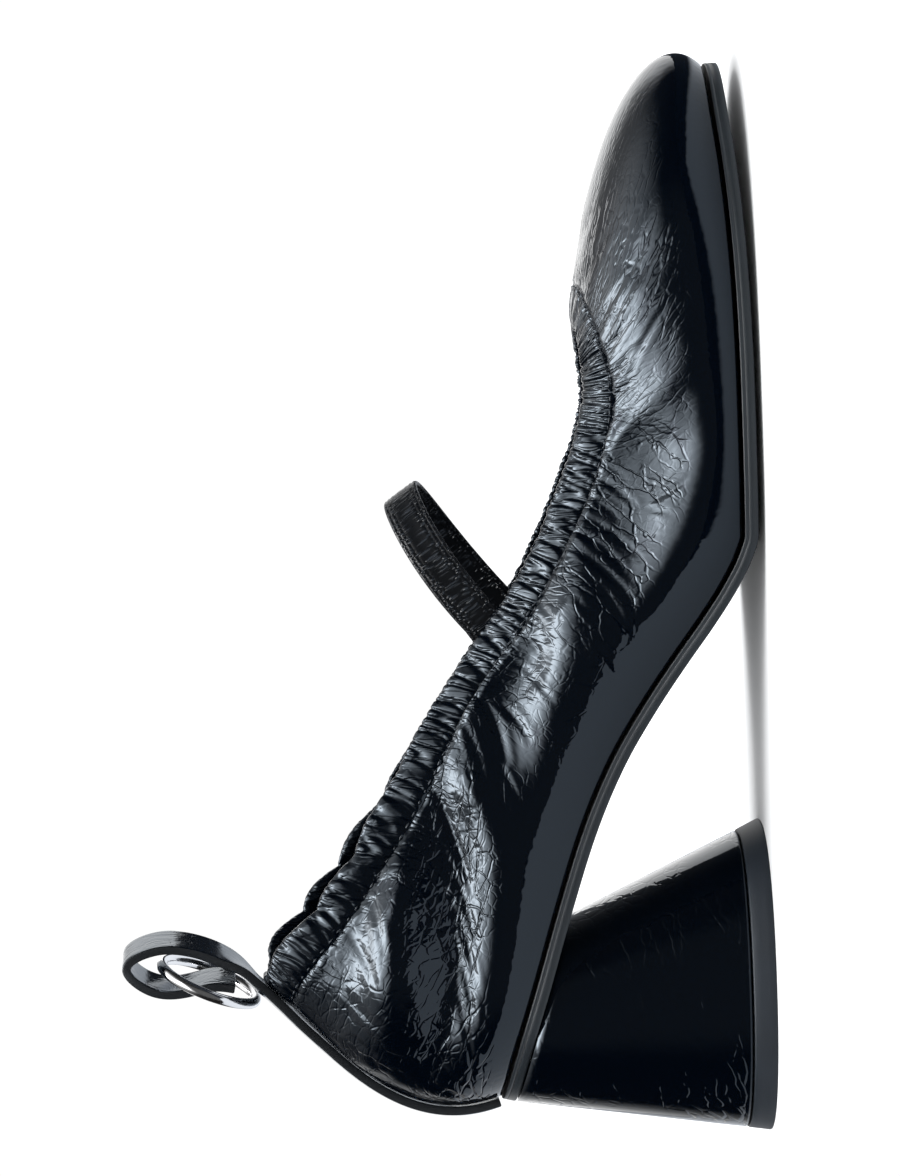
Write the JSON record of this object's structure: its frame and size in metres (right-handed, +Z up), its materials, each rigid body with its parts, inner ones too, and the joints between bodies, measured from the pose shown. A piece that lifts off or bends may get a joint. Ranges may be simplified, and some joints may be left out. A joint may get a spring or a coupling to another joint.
{
  "type": "block-heel pump shoe with instep elastic and pull loop",
  "caption": "Round-toe pump in crinkled black patent leather with gathered collar, instep elastic, flared block heel and pull loop with ring.",
  "frame": {"origin": "middle of the top piece's underside, on the ground, with the shoe standing on heel and forefoot", "axes": "+X to the toe, +Y to the inner (medial) side of the right shoe, +Z up"},
  "size_m": [0.2462, 0.0809, 0.1463],
  "materials": {
    "patent_leather": "crinkled glossy black patent leather over a soft backing",
    "heel_cover": "the same patent leather, stretched smooth over the heel block",
    "sole_edge": "leather sole with a matt painted edge, dark blue-grey",
    "heel_rubber": "matt dark grey rubber",
    "insole_leather": "matt black lining leather",
    "ribbed_elastic": "black ribbed elastic webbing",
    "silver_ring": "polished silver-coloured metal"
  },
  "bodies": {
    "root": {"outsole": "sole_edge", "upper": "patent_leather", "insole": "insole_leather", "collar_casing": "patent_leather", "heel": "heel_cover", "top_piece": "heel_rubber", "back_strip": "patent_leather", "instep_strap": "ribbed_elastic"},
    "ring": {"ring": "silver_ring"}
  },
  "joints": [
    {"name": "ring_swing", "type": "hinge", "parent": "root", "child": "ring", "pos_m": [0.0071, 0, 0.1374], "axis": [0.1736, 0.9848, 0], "range_deg": [0, 110]}
  ]
}
